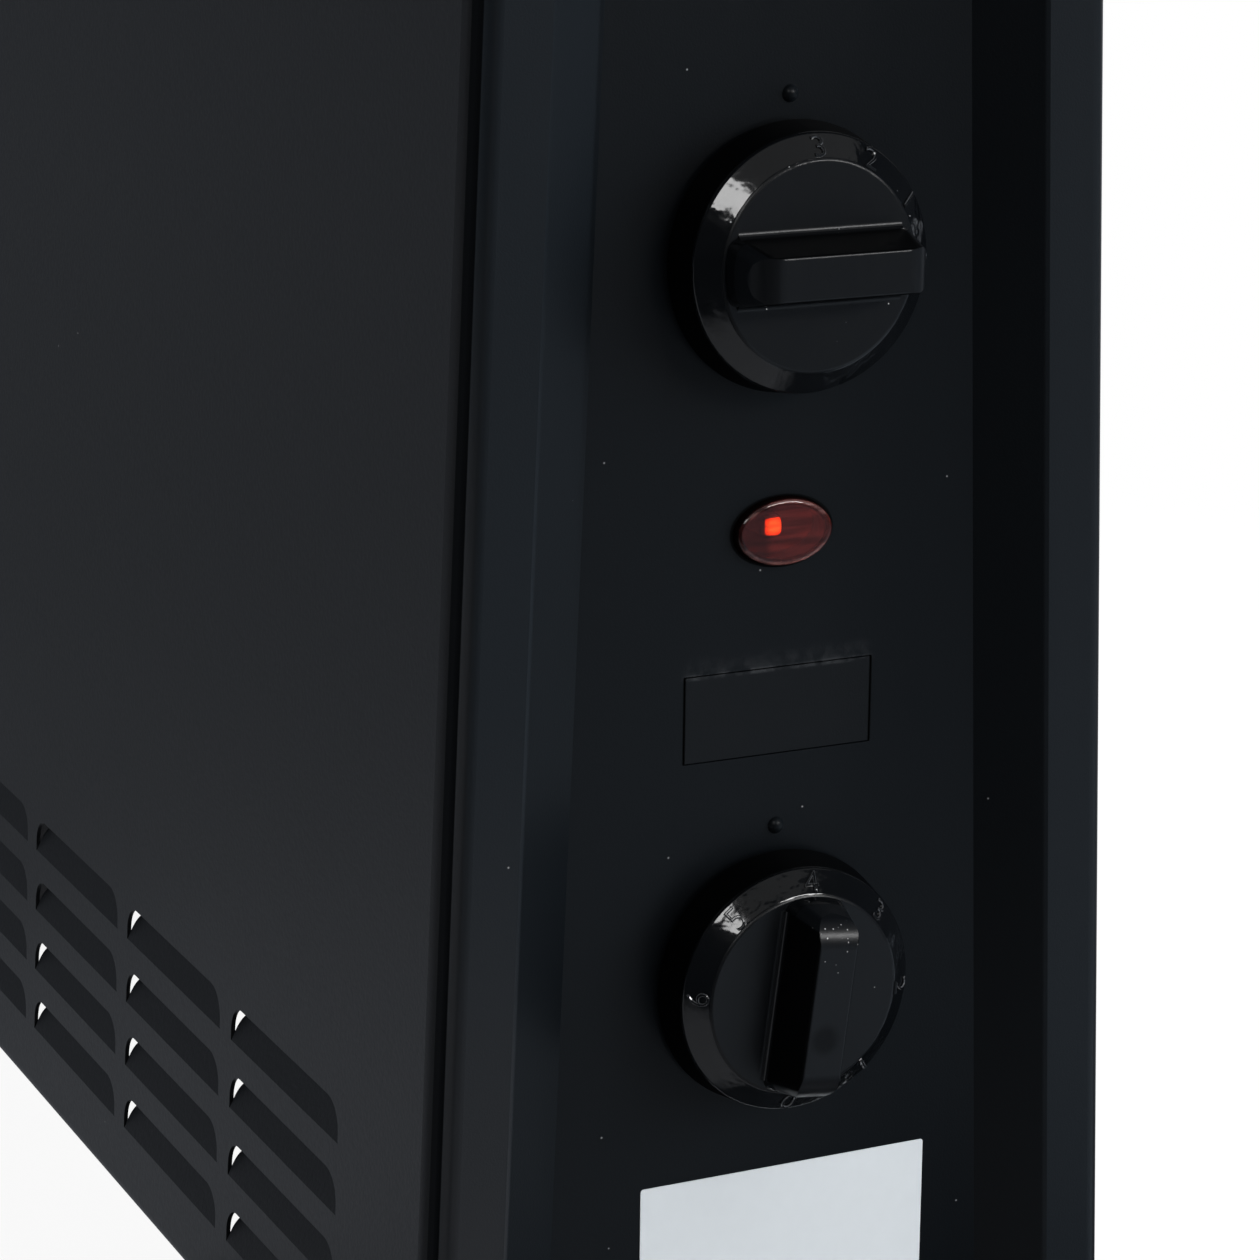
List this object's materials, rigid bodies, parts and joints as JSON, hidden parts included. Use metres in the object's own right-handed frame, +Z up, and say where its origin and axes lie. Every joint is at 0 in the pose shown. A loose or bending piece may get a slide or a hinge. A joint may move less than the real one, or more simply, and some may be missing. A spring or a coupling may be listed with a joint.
{
  "type": "convector heater",
  "caption": "Free-standing electric convector heater with tapered louvred steel panels, a recessed control end with two turning knobs and a pilot lamp, a slotted top outlet and cross feet.",
  "frame": {"origin": "on the floor, at the middle of the part's footprint", "axes": "+X to the control end, -Y to the front, +Z up"},
  "size_m": [0.5562, 0.204, 0.393],
  "materials": {
    "black_powder_coat": "fine-textured satin powder coat",
    "black_screw": "blackened",
    "black_moulding": "fine spark-eroded texture",
    "foot_moulding": "satin moulding",
    "zinc_sheet": "zinc-coated sheet",
    "zinc_screw": "zinc plated",
    "knob_black": "polished ring, satin face",
    "switch_moulding": "moulded",
    "pale_moulding": "moulded",
    "lens_red": "clear tinted",
    "neon_glass": "clear",
    "mica_card": "layered mica board",
    "heating_alloy": "oxidised",
    "pad_rubber": "matt"
  },
  "bodies": {
    "heater": {"front_panel": "black_powder_coat", "rear_panel": "black_powder_coat", "outlet_grille": "black_powder_coat", "grille_screws": "black_screw", "control_cover": "black_moulding", "plain_cover": "black_moulding", "control_bulkhead": "zinc_sheet", "plain_bulkhead": "zinc_sheet", "bay_screws": "zinc_screw", "selector_switch": "switch_moulding", "thermostat_body": "pale_moulding", "control_screws": "zinc_screw", "lamp_lens": "lens_red", "lamp_housing": "pale_moulding", "neon_lamp": "neon_glass", "blanking_plate": "black_moulding", "front_heating_card": "mica_card", "rear_heating_card": "mica_card", "front_heating_ribbon": "heating_alloy", "rear_heating_ribbon": "heating_alloy", "thermal_cutout": "pale_moulding", "terminal_block": "pale_moulding", "cord_gland": "switch_moulding", "right_foot": "foot_moulding", "left_foot": "foot_moulding", "foot_pads": "pad_rubber", "foot_screws": "zinc_screw", "foot_nuts": "zinc_screw"},
    "selector": {"selector_knob": "knob_black", "selector_shaft": "zinc_screw"},
    "thermostat": {"thermostat_knob": "knob_black", "thermostat_shaft": "zinc_screw"}
  },
  "joints": [
    {"name": "selector_turn", "type": "hinge", "parent": "heater", "child": "selector", "pos_m": [0.25825, 0, 0.245], "axis": [1, 0, 0], "range_deg": [0, 90]},
    {"name": "thermostat_turn", "type": "hinge", "parent": "heater", "child": "thermostat", "pos_m": [0.25825, 0, 0.127], "axis": [1, 0, 0], "range_deg": [-83, 187]}
  ]
}
